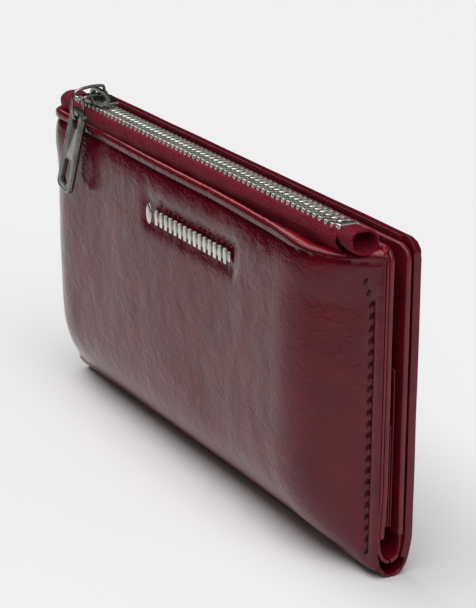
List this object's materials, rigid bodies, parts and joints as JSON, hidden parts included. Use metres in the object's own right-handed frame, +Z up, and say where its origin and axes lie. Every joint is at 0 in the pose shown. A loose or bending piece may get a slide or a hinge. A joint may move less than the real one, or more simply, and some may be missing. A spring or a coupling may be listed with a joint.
{
  "type": "long wallet",
  "caption": "Long bifold wallet in glossy dark red crinkled leather, with a swelled zip coin pocket on the front, a hanging puller and card slots on both inner leaves.",
  "frame": {"origin": "centre of the flat underside of the fold, the strip that the closed wallet stands on", "axes": "+X along the wallet from the closed end of the zip to its open end, +Y from the zipped front half to the back half, +Z up from the fold to the zip"},
  "size_m": [0.19, 0.0286, 0.1075],
  "materials": {
    "patent_skin": "dark burgundy patent, fine crinkle, high gloss",
    "inner_leather": "dark red smooth leather, satin to gloss",
    "lining": "dark red woven lining",
    "stiffener": "bonded leather-fibre board, matt, hidden",
    "zip_tape": "red woven zip tape",
    "zip_teeth": "nickel-plated teeth and stops, polished",
    "trim": "polished nickel bar",
    "slider_metal": "dark polished plated zinc"
  },
  "bodies": {
    "pocket": {"front_panel": "patent_skin", "pocket_lining_front": "lining", "front_top_binding": "inner_leather", "pocket_rear_wall": "inner_leather", "front_leaf_board": "stiffener", "front_leaf": "inner_leather", "pocket_lining_rear": "lining", "zip_tape_front": "zip_tape", "zip_tape_rear": "zip_tape", "zip_teeth_front": "zip_teeth", "zip_teeth_rear": "zip_teeth", "zip_top_stop_front": "zip_teeth", "zip_top_stop_rear": "zip_teeth", "zip_bottom_stop": "zip_teeth", "zip_end_tuck_left": "zip_tape", "zip_end_tuck_right": "zip_tape", "trim_bar": "trim", "front_slot_left_upper": "inner_leather", "front_slot_left_lower": "inner_leather", "front_slot_right_upper": "inner_leather", "front_slot_right_lower": "inner_leather"},
    "spine": {"spine_strip": "patent_skin", "spine_lining": "inner_leather"},
    "cover": {"back_leaf": "inner_leather", "back_leaf_backing": "inner_leather", "back_panel": "patent_skin", "back_board": "stiffener", "back_lining": "lining", "back_slot_left_upper": "inner_leather", "back_slot_left_lower": "inner_leather", "back_slot_right_upper": "inner_leather", "back_slot_right_lower": "inner_leather"},
    "slider": {"slider_body": "slider_metal"},
    "link": {"puller_link": "slider_metal"},
    "puller": {"puller": "slider_metal"}
  },
  "joints": [
    {"name": "spine_fold", "type": "hinge", "parent": "pocket", "child": "spine", "pos_m": [0, -0.0046, 0.0019], "axis": [-1, 0, 0], "range_deg": [0, 90]},
    {"name": "cover_fold", "type": "hinge", "parent": "spine", "child": "cover", "pos_m": [0, 0.0046, 0.0019], "axis": [-1, 0, 0], "range_deg": [0, 90]},
    {"name": "zip_slide", "type": "slide", "parent": "pocket", "child": "slider", "axis": [1, 0, 0], "range_m": [0, 0.1375]},
    {"name": "link_swing", "type": "hinge", "parent": "slider", "child": "link", "pos_m": [-0.0635, -0.011, 0.1054], "axis": [-1, 0, 0], "range_deg": [0, 180]},
    {"name": "puller_swing", "type": "hinge", "parent": "link", "child": "puller", "pos_m": [-0.0635, -0.0188, 0.0971], "axis": [0, 0.993, -0.1184], "range_deg": [-87, 63]}
  ],
  "couplings": [
    {"joint": "cover_fold", "follows": "spine_fold", "ratio": 1}
  ]
}
